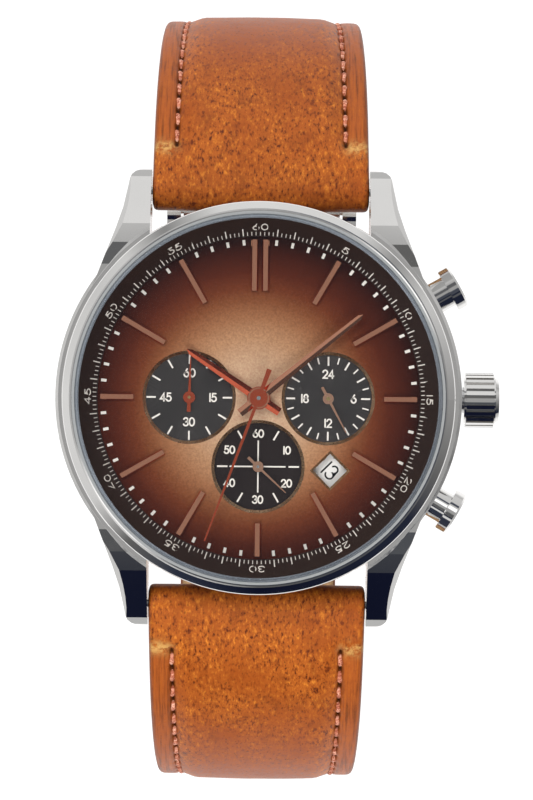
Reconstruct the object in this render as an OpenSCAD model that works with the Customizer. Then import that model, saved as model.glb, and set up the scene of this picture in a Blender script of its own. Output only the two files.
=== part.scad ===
// Chronograph wristwatch with a leather strap, as separate moving pieces.
// Millimetres. Z rises out of the dial, Y points to 12 o'clock, X to the crown.
// The origin is the centre of the case back's outer face, on the axis of the hands.

/* [Hands] */
// minute hand, degrees clockwise from 12
minute_angle = 50.8; // [0:0.1:360]
// hour hand
hour_angle = 303.6; // [0:0.1:360]
// chronograph seconds hand
chrono_angle = 200.2; // [0:0.1:360]
// small seconds hand, bottom sub-dial
seconds_angle = 132.8; // [0:0.1:360]
// 24 hour hand, right sub-dial
day_night_angle = 151.6; // [0:0.1:360]
// chronograph minutes hand, left sub-dial
counter_angle = 1.6; // [0:0.1:360]

/* [Case] */
// outside radius of the case middle
case_r = 20.25; // [20.1:0.05:20.6]
// outside radius of the bezel
bezel_r = 19.5; // [19.3:0.05:19.58]
// height of the spring bars above the case back
bar_z = 3.2; // [3.0:0.1:3.4]
// spring bar distance from the centre
bar_y = 20.8; // [20.7:0.05:20.9]
// half of the gap between two lugs
lug_gap = 11; // [10.9:0.05:11.2]

/* [Crown and pushers] */
// flutes round the crown
crown_flutes = 24; // [18:1:30]
// crown radius
crown_r = 2.75; // [2.6:0.05:2.85]
// pusher cap radius
cap_r = 2.2; // [2.0:0.05:2.3]
// pusher travel
push_travel = 0.8; // [0.5:0.1:0.8]

/* [Strap] */
// strap width at the lugs
strap_w = 21.7; // [21:0.1:21.7]
// strap width at the buckle
strap_end_w = 18; // [17:0.1:18.2]
// outside radius of the strap's bend over the wrist
wrist_r = 28.5; // [27:0.5:30]
// length of the buckle half
short_len = 75; // [74:0.5:76]
// length of the half with holes
long_len = 115; // [110:1:116]

/* [Hidden] */
$fn = 72;

steel = [0.75, 0.76, 0.78];
brass = [0.80, 0.66, 0.36];
copper = [0.72, 0.36, 0.26];
black = [0.08, 0.08, 0.08];
tan = [0.62, 0.36, 0.20];
dark = [0.16, 0.10, 0.08];
leather = [0.70, 0.36, 0.14];

stem_z = 4.2;
side_x = 6.94;
low_y = -6.85;
dial_z = 6.3;
dial_top = 6.8;

// helpers

module tube(ri, ro, z0, z1) {
  translate([0, 0, z0]) difference() {
    cylinder(r = ro, h = z1 - z0);
    translate([0, 0, -1]) cylinder(r = ri, h = z1 - z0 + 2);
  }
}

module disc(r, z0, z1) {
  translate([0, 0, z0]) cylinder(r = r, h = z1 - z0);
}

module radial(angle, z) {
  translate([0, 0, z]) rotate([0, 0, angle]) rotate([0, 90, 0]) children();
}

// case

// side view of a lug: a shoulder level with the case, then a horn that bends down past the bar
module lug_profile() {
  polygon([[8, 0.9], [8, 7.95], [13.2, 7.95], [15.4, 7.72], [17.3, 7.3], [18.7, 6.6], [20.0, 5.82],
    [21.2, 4.98], [22.2, 4.14], [22.9, 3.4], [23.05, 2.9], [22.8, 2.3], [22.0, 1.6], [20.8, 1.15],
    [19.2, 0.9]]);
}

module lug_plan() {
  difference() {
    polygon([[10.0, 12], [10.0, 23.06], [11.35, 23.06], [12.0, 22.98], [12.62, 22.78], [13.0, 22.44],
      [13.18, 22.0], [13.3, 21.3], [13.75, 19.0], [14.45, 16.8], [15.3, 14.5], [16.25, 12.0], [17.3, 9.6],
      [15, 8], [12, 8]]);
    translate([0, 13]) square([lug_gap, 14]);
  }
}

// the flank is a flat facet that starts at the shoulder and narrows to the tip
module lug() {
  difference() {
    intersection() {
      linear_extrude(height = 12) lug_plan();
      rotate([90, 0, 90]) linear_extrude(height = 30) lug_profile();
    }
    translate([13.66, 17.4, 7.3]) rotate([0, 0, 7.2]) rotate([-32.6, 0, 0]) rotate([0, -45, 0])
      translate([0, -12, -8]) cube([8, 24, 16]);
  }
}

module case_body() {
  rotate_extrude($fn = 180) polygon([[16.3, 0.9], [17.9, 0.9], [19.2, 1.5], [case_r, 3.0],
    [case_r, 7.7], [case_r - 0.3, 8.0], [19.6, 8.0], [19.6, 7.6], [18.2, 7.6], [18.2, 6.85],
    [16.7, 6.85], [16.7, 6.25], [15.9, 6.25], [15.9, 1.5], [16.3, 1.5]]);
}

module case_middle() color(steel) difference() {
  union() {
    difference() {
      case_body();
      for (s = [0, 180]) rotate([0, 0, s]) {
        difference() {
          translate([-lug_gap, 14, -1]) cube([2 * lug_gap, 9, 11]);
          cylinder(r = bezel_r, h = 12);
        }
        translate([-lug_gap, bar_y, bar_z]) rotate([0, 90, 0]) cylinder(r = 2.4, h = 2 * lug_gap);
        translate([-lug_gap, 17.9, -1]) cube([2 * lug_gap, 5, bar_z + 1]);
      }
    }
    difference() {
      for (s = [0, 180]) rotate([0, 0, s]) {
        lug();
        mirror([1, 0, 0]) lug();
      }
      translate([0, 0, -1]) cylinder(r = 19.55, h = 14);
    }
  }
  for (s = [0, 180]) rotate([0, 0, s])
    translate([-12.2, bar_y, bar_z]) rotate([0, 90, 0]) cylinder(r = 0.42, h = 24.4);
  radial(0, stem_z) translate([0, 0, 15]) cylinder(r = 1.25, h = 8);
  radial(0, stem_z) translate([0, 0, 20.15]) cylinder(r = 3.0, h = 8);
  for (a = [30, -30]) {
    radial(a, stem_z) translate([0, 0, 15]) cylinder(r = 1.5, h = 8);
    radial(a, stem_z) translate([0, 0, 19.0]) cylinder(r = 2.0, h = 8);
    radial(a, stem_z) translate([0, 0, 20.0]) cylinder(r = 2.5, h = 8);
  }
}

// the top is a shallow dome of radius 1.8, turned down at the rim
module bezel() color(steel) rotate_extrude($fn = 180) polygon(concat([[18.2, 7.6], [bezel_r, 7.6],
  [bezel_r, 9.75], [bezel_r - 0.04, 9.98], [bezel_r - 0.12, 10.13]],
  [for (a = [45 : -4.3 : 15]) [bezel_r - 1.5 + 1.8 * sin(a), 8.95 + 1.8 * cos(a)]],
  [[18.45, 10.68], [18.45, 9.3], [18.2, 9.3]]));

module crystal() color([0.85, 0.9, 0.95, 0.3]) rotate_extrude($fn = 180) polygon([[0, 9.3],
  [18.2, 9.3], [18.2, 10.75], [17.75, 11.2], [0, 11.2]]);

module crystal_gasket() color([0.3, 0.32, 0.36]) tube(18.2, 18.45, 9.3, 10.75);

module rehaut() color(dark) rotate_extrude($fn = 180) polygon([[16.1, 6.85], [18.2, 6.85],
  [18.2, 9.3], [17.95, 9.3], [17.85, 9.2], [16.1, 6.95]]);

module case_back() color(steel) difference() {
  union() {
    rotate_extrude($fn = 180) polygon([[0, 0], [16.4, 0], [17.4, 0.5], [17.4, 0.9], [15.7, 0.9],
      [15.7, 1.9], [14.9, 1.9], [14.9, 1.2], [0, 1.2]]);
  }
  for (a = [0 : 60 : 300]) rotate([0, 0, a]) translate([15.75, 0, -1]) cylinder(r = 0.35, h = 1.5);
}

module case_back_gasket() color(black) tube(15.7, 16.3, 0.9, 1.5);

module movement_holder() color([0.85, 0.85, 0.82]) difference() {
  tube(14.95, 15.8, 1.9, 6.25);
  for (a = [0, 30, -30]) radial(a, stem_z) translate([0, 0, 13]) cylinder(r = 1.1, h = 4);
}

// dial

module window_at() {
  rotate([0, 0, -45]) translate([10.17, 0]) children();
}

module dial() color(tan) difference() {
  disc(16.65, dial_z, dial_top);
  disc(0.95, 0, 10);
  for (p = [[-side_x, 0], [side_x, 0], [0, low_y]]) translate([p[0], p[1], 0]) {
    disc(4.36, 0, 10);
    translate([0, 0, dial_top - 0.3]) cylinder(r1 = 4.36, r2 = 4.67, h = 0.31);
  }
  rotate([0, 0, -45]) translate([10.17, 0, 0]) {
    translate([-1.2, -1.2, 0]) cube([2.4, 2.4, 10]);
    translate([0, 0, dial_top - 0.22]) rotate([0, 0, 45])
      cylinder(r1 = 1.7, r2 = 2.02, h = 0.23, $fn = 4);
  }
}

module marker(angle, ri, ro, w, off) {
  rotate([0, 0, -angle]) translate([off, 0, dial_top]) rotate([90, 0, 180])
    translate([0, 0, ri]) linear_extrude(height = ro - ri)
      polygon([[-w / 2, 0], [w / 2, 0], [w / 2, 0.2], [w / 2 - 0.12, 0.36],
        [0.12 - w / 2, 0.36], [-w / 2, 0.2]]);
}

module hour_markers() color(copper) {
  for (i = [1, 2, 4, 5, 7, 8, 10, 11]) marker(i * 30, 10.9, 15.8, 0.7, 0);
  for (i = [3, 6, 9]) marker(i * 30, 12.5, 15.8, 0.7, 0);
  marker(0, 10.7, 15.8, 0.7, 0.55);
  marker(0, 10.7, 15.8, 0.7, -0.55);
}

module sub_plate(x, y, hole) {
  translate([x, y, 0]) difference() {
    disc(4.8, 6.05, dial_z);
    disc(hole, 5, 7);
  }
}

module minute_counter_plate() color([0.2, 0.2, 0.2]) sub_plate(-side_x, 0, 0.3);
module day_night_plate() color([0.2, 0.2, 0.2]) sub_plate(side_x, 0, 0.3);
module small_seconds_plate() color(black) sub_plate(0, low_y, 0.3);

// gear trains

module gear_plan(n, m, at) {
  rp = n * m / 2;
  p = 360 / n;
  polygon([for (i = [0 : n - 1]) for (k = [0 : 3])
    let (a = at + i * p + [-0.25, -0.11, 0.11, 0.25][k] * p,
      r = (k == 0 || k == 3) ? rp - 1.2 * m : rp + 0.85 * m)
    [r * cos(a), r * sin(a)]]);
}

module gear(n, m, z0, z1, bore, at) {
  translate([0, 0, z0]) linear_extrude(height = z1 - z0) difference() {
    gear_plan(n, m, at);
    circle(r = bore);
  }
}

// tooth angle of a wheel in mesh with another, from the other's tooth angle and the line of centres
function in_mesh(at, na, nb, line) = line + 180 + 180 / nb - (at - line) * na / nb;

minute_line = 130;
idler_line = 19.2;
third_line = -78.44;
inter_line = 161.37;
third_p = [3.6 * cos(third_line), 3.6 * sin(third_line)];
idler_p = [2.85 * cos(idler_line), 2.85 * sin(idler_line)];
cock_p = [1.95, 3.38];
idler_out = atan2(-idler_p[1], side_x - idler_p[0]);
inter_p = [3.74 * cos(inter_line), 3.74 * sin(inter_line)];
counter_out = atan2(-inter_p[1], -side_x - inter_p[0]);
seconds_out = atan2(low_y - third_p[1], -third_p[0]);
minute_p = [3.6 * cos(minute_line), 3.6 * sin(minute_line)];
wheel_at = in_mesh(0, 12, 36, minute_line);
hour_at = in_mesh(0, 10, 40, minute_line + 180);
idler_at = in_mesh(0, 20, 18, idler_line);
day_at = in_mesh(idler_at, 18, 40, idler_out);
third_at = in_mesh(0, 64, 8, third_line);
seconds_at = in_mesh(0, 60, 8, seconds_out);
inter_at = in_mesh(0, 8, 60, inter_line);
counter_at = in_mesh(0, 8, 64, counter_out);

module cannon_pinion() color(steel) {
  tube(0.25, 0.45, 2.95, 7.8);
  gear(12, 0.15, 4.55, 4.8, 0.45, 0);
}

module centre_wheel() color(brass) gear(64, 0.1, 3.2, 3.4, 0.45, 0);

module hour_wheel() color(brass) {
  tube(0.5, 0.75, 4.85, 7.3);
  gear(40, 0.144, 4.85, 5.1, 0.5, hour_at);
  gear(20, 0.15, 5.15, 5.42, 0.5, 0);
  tube(0.5, 1.2, 5.1, 5.15);
}

module minute_wheel() color(brass) translate([minute_p[0], minute_p[1], 0]) {
  gear(36, 0.15, 4.55, 4.8, 0.35, wheel_at);
  gear(10, 0.144, 4.8, 5.15, 0.35, 0);
}

module third_wheel() color(brass) translate([third_p[0], third_p[1], 0]) {
  gear(60, 0.1, 2.85, 3.05, 0.15, 0);
  gear(8, 0.1, 3.15, 3.45, 0.15, third_at);
  disc(0.15, 1.97, 3.85);
  tube(0.15, 0.28, 3.05, 3.15);
}

module seconds_pinion() color(steel) translate([0, low_y, 0]) {
  disc(0.15, 1.97, 6.9);
  gear(8, 0.1, 2.8, 3.1, 0.15, seconds_at);
}

module day_night_idler() color(brass) translate([idler_p[0], idler_p[1], 0])
  gear(18, 0.15, 5.15, 5.42, 0.4, idler_at);

module day_night_wheel() color(brass) translate([side_x, 0, 0]) {
  gear(40, 0.15, 5.15, 5.42, 0.2, day_at);
  disc(0.2, 4.7, 6.9);
  translate([-0.3, 0, 5.42]) cube([0.6, 1.5, 0.14]);
}

module counter_intermediate() color(brass) translate([inter_p[0], inter_p[1], 0]) {
  gear(60, 0.11, 2.3, 2.5, 0.15, inter_at);
  gear(8, 0.1, 2.5, 2.8, 0.15, 0);
  disc(0.15, 1.97, 3.85);
}

module counter_wheel() color(brass) translate([-side_x, 0, 0]) {
  gear(64, 0.1, 2.58, 2.75, 0.15, counter_at);
  disc(0.15, 1.97, 6.9);
}

module chrono_arbor() color(steel) {
  disc(0.2, 1.97, 8.3);
  gear(8, 0.11, 2.25, 2.52, 0.2, 0);
}

module date_disc() color([0.93, 0.93, 0.9]) translate([0, 0, 5.6]) linear_extrude(height = 0.2)
  difference() {
    circle(r = 12.2);
    polygon([for (i = [0 : 30]) for (k = [0 : 3])
      let (a = i * 360 / 31 + [0, 3, 5.8, 8.8][k], r = (k == 1 || k == 2) ? 9.05 : 8.65)
      [r * cos(a), r * sin(a)]]);
  }

// hands

module roof(w, h) {
  rotate([90, 0, 180]) translate([0, 0, -20]) linear_extrude(height = 40)
    polygon([[-w / 2, 0], [w / 2, 0], [w / 2, h * 0.35], [0, h], [-w / 2, h * 0.35]]);
}

module baton(angle, z, reach, tail, w, tip, h, boss, bore) {
  rotate([0, 0, -angle]) translate([0, 0, z]) difference() {
    union() {
      intersection() {
        linear_extrude(height = 1) polygon([[-w * 0.44, -tail], [w * 0.44, -tail],
          [w / 2, 0], [tip / 2, reach - tip * 0.9], [0, reach], [-tip / 2, reach - tip * 0.9],
          [-w / 2, 0]]);
        roof(w, h);
      }
      cylinder(r = boss, h = h * 0.8);
    }
    if (bore > 0) translate([0, 0, -1]) cylinder(r = bore, h = 3);
  }
}

module hour_hand() color(copper) baton(hour_angle, 7.2, 8.7, 2.5, 0.95, 0.62, 0.28, 1.15, 0.75);
module minute_hand() color(copper) baton(minute_angle, 7.65, 13.3, 2.4, 0.95, 0.5, 0.28, 1.05, 0.45);

module needle(angle, z, reach, tail, w, tip, tw, h, boss, bore) {
  rotate([0, 0, -angle]) translate([0, 0, z]) difference() {
    union() {
      linear_extrude(height = h) polygon([[-w / 2, 0], [-tip / 2, reach], [tip / 2, reach], [w / 2, 0]]);
      linear_extrude(height = h) polygon([[-w / 2, 0], [-tw / 2, -tail], [tw / 2, -tail], [w / 2, 0]]);
      cylinder(r = boss, h = h + 0.08);
    }
    translate([0, 0, -1]) cylinder(r = bore, h = 3);
  }
}

module chrono_seconds_hand() color(copper) {
  needle(chrono_angle, 8.1, 15.2, 3.05, 0.34, 0.16, 0.5, 0.14, 0.9, 0.2);
}

module small_seconds_hand() color(brass) translate([0, low_y, 0])
  needle(seconds_angle, 6.66, 3.8, 1.35, 0.26, 0.1, 0.3, 0.12, 0.55, 0.15);

module day_night_hand() color(brass) translate([side_x, 0, 0])
  needle(day_night_angle, 6.66, 3.85, 1.3, 0.3, 0.1, 0.3, 0.12, 0.55, 0.2);

module chrono_minutes_hand() color(copper) translate([-side_x, 0, 0])
  needle(counter_angle, 6.66, 4.0, 1.45, 0.3, 0.1, 0.4, 0.12, 0.6, 0.15);

// movement

module main_plate() color([0.72, 0.70, 0.62]) {
  difference() {
    disc(14.9, 3.6, 4.4);
    disc(0.55, 3, 5);
    translate([third_p[0], third_p[1], 0]) disc(0.18, 3, 3.9);
    translate([inter_p[0], inter_p[1], 0]) disc(0.18, 3, 3.9);
    translate([0, low_y, 0]) disc(0.19, 3, 5);
    translate([-side_x, 0, 0]) disc(0.19, 3, 5);
    translate([8.3, -1.6, 3.5]) cube([8, 3.2, 1]);
    for (a = [30, -30]) rotate([0, 0, a]) translate([13.2, -1.1, 3.5]) cube([3, 2.2, 1]);
    for (a = [60, 155, 215, 300]) rotate([0, 0, a]) translate([13.4, 0, 0]) disc(0.35, 3, 5);
  }
  translate([minute_p[0], minute_p[1], 0]) disc(0.31, 4.3, 5.2);
  // stud of the 24 hour idler, hanging from an arm over the hour wheel
  translate([idler_p[0], idler_p[1], 0]) disc(0.36, 5.13, 5.6);
  translate([cock_p[0], cock_p[1], 0]) disc(0.45, 4.3, 5.6);
  translate([0, 0, 5.46]) linear_extrude(height = 0.16) hull() {
    translate([idler_p[0], idler_p[1]]) circle(r = 0.55);
    translate([cock_p[0], cock_p[1]]) circle(r = 0.55);
  }
  difference() {
    translate([side_x, 0, 0]) disc(0.5, 4.3, 5.1);
    translate([side_x, 0, 0]) disc(0.24, 4.6, 6);
  }
  difference() {
    disc(12.4, 4.3, 5.55);
    disc(10.9, 4, 6);
    translate([8, -2.4, 4]) cube([8, 4.8, 3]);
  }
  for (a = [60, 155, 215, 300]) rotate([0, 0, a]) translate([13.4, 0, 0]) tube(0.35, 0.9, 2.2, 3.7);
}

module train_bridge() color([0.78, 0.76, 0.70]) difference() {
  union() {
    intersection() {
      disc(14.0, 1.95, 2.2);
      linear_extrude(height = 4) polygon([[7.2, -14], [7.2, -11], [2.4, -9], [2.4, 3], [-2, 15],
        [-15, 15], [-15, -14]]);
    }
    for (a = [155, 215, 300]) rotate([0, 0, a]) translate([13.4, 0, 0]) disc(0.9, 1.95, 2.2);
  }
  for (a = [155, 215, 300]) rotate([0, 0, a]) translate([13.4, 0, 0]) disc(0.35, 1, 3);
  disc(0.24, 1, 3);
  for (p = [third_p, inter_p, [0, low_y], [-side_x, 0]]) translate([p[0], p[1], 0]) disc(0.18, 1, 3);
}

module screw_at(a, r, z) {
  rotate([0, 0, a]) translate([r, 0, 0]) difference() {
    union() {
      disc(0.35, z, 4.3);
      disc(0.7, z - 0.3, z);
    }
    translate([-1, -0.1, z - 0.31]) cube([2, 0.2, 0.15]);
  }
}

module bridge_screws() color([0.35, 0.42, 0.62]) {
  for (a = [155, 215, 300]) screw_at(a, 13.4, 1.95);
  screw_at(60, 13.4, 1.95);
}

module battery() color([0.8, 0.8, 0.82]) translate([7.4, 5.3, 0]) {
  disc(4.7, 2.15, 3.3);
  disc(3.9, 3.3, 3.55);
}

module battery_clamp() color(steel) difference() {
  translate([0, 0, 1.95]) linear_extrude(height = 0.2) polygon([[5.7, 12.6], [5.2, 5],
    [6.3, 5], [6.9, 9.4], [8.4, 5.2], [9.4, 5.6], [7.9, 12.2]]);
  rotate([0, 0, 60]) translate([13.4, 0, 0]) disc(0.35, 1, 3);
}

module motor_coils() color([0.62, 0.30, 0.16]) for (a = [100, 190, 255]) rotate([0, 0, a])
  translate([11.0, 0, 2.95]) rotate([90, 0, 0]) difference() {
    translate([0, 0, -2.6]) cylinder(r = 0.62, h = 5.2);
    translate([-0.3, -0.2, -4]) cube([0.6, 0.4, 8]);
  }

module motor_stators() color([0.6, 0.6, 0.64]) for (a = [100, 190, 255]) rotate([0, 0, a])
  translate([11.0, 0, 2.95]) rotate([90, 0, 0]) {
    translate([-0.3, -0.2, -3.4]) cube([0.6, 0.4, 6.8]);
    translate([-0.7, -0.2, 2.7]) cube([1.4, 0.4, 0.7]);
    translate([-0.7, -0.2, -3.4]) cube([1.4, 0.4, 0.7]);
  }

module circuit_board() color([0.10, 0.34, 0.20]) {
  difference() {
    intersection() {
      disc(14.2, 3.45, 3.58);
      linear_extrude(height = 5) polygon([[3, -5], [14, -5], [14, -14], [1.4, -14], [1.4, -9]]);
    }
    rotate([0, 0, 300]) translate([13.4, 0, 0]) disc(1.0, 3, 4);
    rotate([0, 0, -30]) translate([13.0, -1.2, 3]) cube([3, 2.4, 2]);
  }
  translate([5.5, -9.5, 2.9]) cube([2.6, 2.6, 0.55]);
  translate([8.6, -7.6, 3.1]) cube([1.2, 0.8, 0.35]);
}

// crown, stem and pushers

module crown_tube() color(steel) radial(0, stem_z) difference() {
  union() {
    translate([0, 0, 15.95]) cylinder(r = 1.25, h = 4.05);
    translate([0, 0, 20.0]) cylinder(r = 1.25, h = 1.3);
  }
  translate([0, 0, 10]) cylinder(r = 0.5, h = 14);
}

module crown() color(steel) radial(0, stem_z) difference() {
  union() {
    translate([0, 0, 20.55]) cylinder(r = crown_r - 0.45, h = 0.2);
    translate([0, 0, 20.7]) cylinder(r = crown_r - 0.32, h = 3.0);
    for (i = [0 : crown_flutes - 1]) rotate([0, 0, i * 360 / crown_flutes])
      translate([crown_r - 0.55, -0.2, 20.75]) cube([0.52, 0.4, 2.8]);
    translate([0, 0, 23.7]) cylinder(r1 = crown_r - 0.45, r2 = crown_r - 0.65, h = 0.35);
  }
  translate([0, 0, 20]) cylinder(r = 1.33, h = 1.6);
  translate([0, 0, 20]) cylinder(r = 0.45, h = 3.0);
}

module winding_stem() color(steel) radial(0, stem_z) {
  translate([0, 0, 10.2]) cylinder(r = 0.45, h = 12.8);
  translate([0, 0, 10.42]) cylinder(r = 0.7, h = 0.25);
  translate([0, 0, 11.73]) cylinder(r = 0.7, h = 0.25);
}

module setting_lever() color(steel) difference() {
  translate([10.7, -1.4, 3.7]) cube([1.0, 2.8, 0.95]);
  radial(0, stem_z) translate([0, 0, 10]) cylinder(r = 0.48, h = 3);
}

module pusher_tubes() color(steel) for (a = [30, -30]) radial(a, stem_z) difference() {
  union() {
    translate([0, 0, 16.6]) cylinder(r = 1.5, h = 2.6);
  }
  translate([0, 0, 18.0]) cylinder(r = 1.1, h = 3);
  translate([0, 0, 10]) cylinder(r = 0.55, h = 12);
}

cap_z = 21.1 + push_travel;

module pusher() color(steel) {
  translate([0, 0, 14.6]) cylinder(r = 0.5, h = cap_z - 14.6);
  translate([0, 0, cap_z - 0.08]) cylinder(r = cap_r - 0.08, h = 0.1);
  translate([0, 0, cap_z]) cylinder(r = cap_r, h = 0.9);
  translate([0, 0, cap_z + 0.9]) cylinder(r1 = cap_r, r2 = cap_r - 0.2, h = 0.2);
  difference() {
    translate([0, 0, 20.2]) cylinder(r = 1.6, h = 1.65);
    translate([0, 0, 20.1]) cylinder(r = 1.1, h = 1.6);
  }
}

module coil_spring(z0, z1, r, w, turns) {
  pitch = (z1 - z0 - w) / turns;
  span = 360 * w / pitch;
  translate([0, 0, z0]) linear_extrude(height = z1 - z0, twist = -360 * turns, slices = 12 * turns, $fn = 4)
    polygon(concat([for (i = [0 : 2]) (r + w / 2) * [cos(i * span / 2), sin(i * span / 2)]],
      [for (i = [2 : -1 : 0]) (r - w / 2) * [cos(i * span / 2), sin(i * span / 2)]]));
}

module start_pusher() radial(30, stem_z) pusher();
module reset_pusher() radial(-30, stem_z) pusher();
module start_pusher_spring() color([0.6, 0.6, 0.62]) radial(30, stem_z) coil_spring(18.0, cap_z - 0.2, 0.8, 0.16, 4);
module reset_pusher_spring() color([0.6, 0.6, 0.62]) radial(-30, stem_z) coil_spring(18.0, cap_z - 0.2, 0.8, 0.16, 4);

module lug_spring_bars() color(steel) for (s = [1, -1]) translate([0, s * bar_y, bar_z]) {
  translate([-10.85, 0, 0]) rotate([0, 90, 0]) cylinder(r = 0.9, h = 21.7);
  translate([-11.9, 0, 0]) rotate([0, 90, 0]) cylinder(r = 0.4, h = 23.8);
}

// strap: a path of arcs and straights in the YZ plane, in terms of the length along it

taper_len = 62;
lead = 18;
mid_turn = 100;
bend_r = 12;
curl_r = 20;
arc_1 = wrist_r * (mid_turn - lead) * PI / 180;
arc_2 = bend_r * (180 - mid_turn) * PI / 180;

// direction angle below horizontal at a distance along a half, with a straight of length run and a flat foot
function dip(s, run, flat) =
  s < arc_1 ? lead + s / wrist_r * 180 / PI :
  s < arc_1 + run ? mid_turn :
  s < arc_1 + run + arc_2 ? mid_turn + (s - arc_1 - run) / bend_r * 180 / PI :
  s < arc_1 + run + arc_2 + flat ? 180 :
  180 + (s - arc_1 - run - arc_2 - flat) / curl_r * 180 / PI;

function steps(total, n) = [for (i = [0 : n]) total * i / n];

// outer surface points and directions, one after the other
function path(list, run, flat) =
  [for (i = 0, y = bar_y + 2.1 * sin(lead), z = bar_z + 2.1 * cos(lead); i < len(list);
      i = i + 1,
      y = i < len(list) ? y + (list[i] - list[i - 1]) * cos((dip(list[i], run, flat) + dip(list[i - 1], run, flat)) / 2) : y,
      z = i < len(list) ? z - (list[i] - list[i - 1]) * sin((dip(list[i], run, flat) + dip(list[i - 1], run, flat)) / 2) : z)
    [y, z, dip(list[i], run, flat)]];

// total thickness, width and the join between leather and lining along a half
function thick(s, full) = s < 14 ? 4.2 - 0.9 * s / 14 : 3.3 - 0.6 * (s - 14) / (full - 14);
function wide(s) = strap_w + (strap_end_w - strap_w) * pow(min(1, s / taper_len), 1.8);
lining_t = 1.0;

function ring(p, w, t0, t1, crown) = let (n = [sin(p[2]), cos(p[2])])
  [for (q = [[-w / 2, t0 + crown], [-w / 2 + 2.3, t0 + crown * 0.35], [-w / 4, t0], [w / 4, t0],
      [w / 2 - 2.3, t0 + crown * 0.35], [w / 2, t0 + crown], [w / 2, t1], [-w / 2, t1]])
    [q[0], p[0] - n[0] * q[1], p[1] - n[1] * q[1]]];

function flat_ring(p, w, t0, t1) = let (n = [sin(p[2]), cos(p[2])])
  [for (q = [[-w / 2, t0], [w / 2, t0], [w / 2, t1], [-w / 2, t1]])
    [q[0], p[0] - n[0] * q[1], p[1] - n[1] * q[1]]];

module sweep(rings) {
  k = len(rings[0]);
  n = len(rings);
  polyhedron(points = [for (r = rings) for (q = r) q],
    faces = concat([[for (i = [0 : k - 1]) i]],
      [for (j = [0 : n - 2]) for (i = [0 : k - 1])
        [j * k + i, (j + 1) * k + i, (j + 1) * k + (i + 1) % k, j * k + (i + 1) % k]],
      [[for (i = [k - 1 : -1 : 0]) (n - 1) * k + i]]));
}

module strap_layer(total, n, run, flat, first, last, outer) {
  list = [for (s = steps(total, n)) s];
  pts = path(list, run, flat);
  sweep([for (i = [first : last]) let (t = thick(list[i], total), w = wide(list[i]))
    outer ? ring(pts[i], w, 0, t - lining_t, 0.35) : flat_ring(pts[i], w - 0.4, t - lining_t, t)]);
}

long_run = 15.3;
short_run = 14;
long_flat = 14.4;
short_steps = 30;
long_steps = 46;
short_path = path(steps(short_len, short_steps), short_run, 60);
buckle_y = short_path[short_steps][0] - 1.2;
buckle_z = short_path[short_steps][1] + 1.9;

module strap_12_leather() color(leather) difference() {
  union() {
    strap_layer(short_len, short_steps, short_run, 60, 0, short_steps, true);
    translate([-strap_w / 2, bar_y, bar_z]) rotate([0, 90, 0]) cylinder(r = 2.1, h = strap_w);
    translate([-strap_end_w / 2, buckle_y, buckle_z]) rotate([0, 90, 0]) cylinder(r = 1.9, h = strap_end_w);
  }
  translate([-15, bar_y, bar_z]) rotate([0, 90, 0]) cylinder(r = 0.98, h = 30);
  translate([-15, buckle_y, buckle_z]) rotate([0, 90, 0]) cylinder(r = 0.83, h = 30);
  translate([-1.5, buckle_y - 3, buckle_z - 3]) cube([3, 6.5, 8]);
}

module strap_12_lining() color([0.78, 0.62, 0.44])
  strap_layer(short_len, short_steps, short_run, 60, 2, short_steps - 2, false);

module strap_6_leather() color(leather) difference() {
  mirror([0, 1, 0]) union() {
    strap_layer(long_len, long_steps, long_run, long_flat, 0, long_steps, true);
    translate([-strap_w / 2, bar_y, bar_z]) rotate([0, 90, 0]) cylinder(r = 2.1, h = strap_w);
  }
  translate([-15, -bar_y, bar_z]) rotate([0, 90, 0]) cylinder(r = 0.98, h = 30);
  holes_6();
}

module strap_6_lining() color([0.78, 0.62, 0.44]) difference() {
  mirror([0, 1, 0]) strap_layer(long_len, long_steps, long_run, long_flat, 2, long_steps, false);
  holes_6();
}

module holes_6() {
  pts = path(steps(long_len, long_steps), long_run, long_flat);
  for (i = [25 : 3 : 43]) translate([0, -pts[i][0], pts[i][1]]) rotate([pts[i][2], 0, 0])
    translate([0, 0, -5]) cylinder(r = 0.9, h = 10);
}

module keeper_loop(w, t, len) {
  difference() {
    translate([-w / 2 - 1.1, -len / 2, -1.1]) cube([w + 2.2, len, t + 2.2]);
    translate([-w / 2, -len, 0]) cube([w, 3 * len, t]);
  }
}

module at_short(i, off) {
  translate([0, short_path[i][0], short_path[i][1]]) rotate([-short_path[i][2], 0, 0])
    translate([0, 0, off]) children();
}

module fixed_keeper() color(leather) at_short(27, -3.6) keeper_loop(19.0, 4.0, 3.2);
module free_keeper() color(leather) at_short(21, -4.0) keeper_loop(20.2, 4.4, 4.0);

module buckle_spring_bar() color(steel) translate([0, buckle_y, buckle_z]) {
  translate([-9.1, 0, 0]) rotate([0, 90, 0]) cylinder(r = 0.75, h = 18.2);
  translate([-10.2, 0, 0]) rotate([0, 90, 0]) cylinder(r = 0.38, h = 20.4);
}

module buckle_frame() color(steel) translate([0, buckle_y, buckle_z]) difference() {
  union() {
    for (s = [1, -1]) translate([s * 10.2 - 0.8, -14, -1.1]) cube([1.6, 15, 2.0]);
    for (s = [1, -1]) translate([s * 10.2 - 0.8, 0, 0]) rotate([0, 90, 0]) cylinder(r = 1.4, h = 1.6);
    translate([-11, -16.2, -1.1]) cube([22, 2.6, 2.0]);
  }
  translate([-15, 0, 0]) rotate([0, 90, 0]) cylinder(r = 0.42, h = 30);
  translate([-0.8, -17, 0.5]) cube([1.6, 4, 2]);
}

module buckle_tongue() color(steel) translate([0, buckle_y, buckle_z]) difference() {
  union() {
    translate([-1.0, 0, 0]) rotate([0, 90, 0]) cylinder(r = 1.25, h = 2.0);
    translate([-0.65, -15.8, 0.55]) cube([1.3, 15.8, 0.65]);
  }
  translate([-2, 0, 0]) rotate([0, 90, 0]) cylinder(r = 0.8, h = 4);
}

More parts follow.
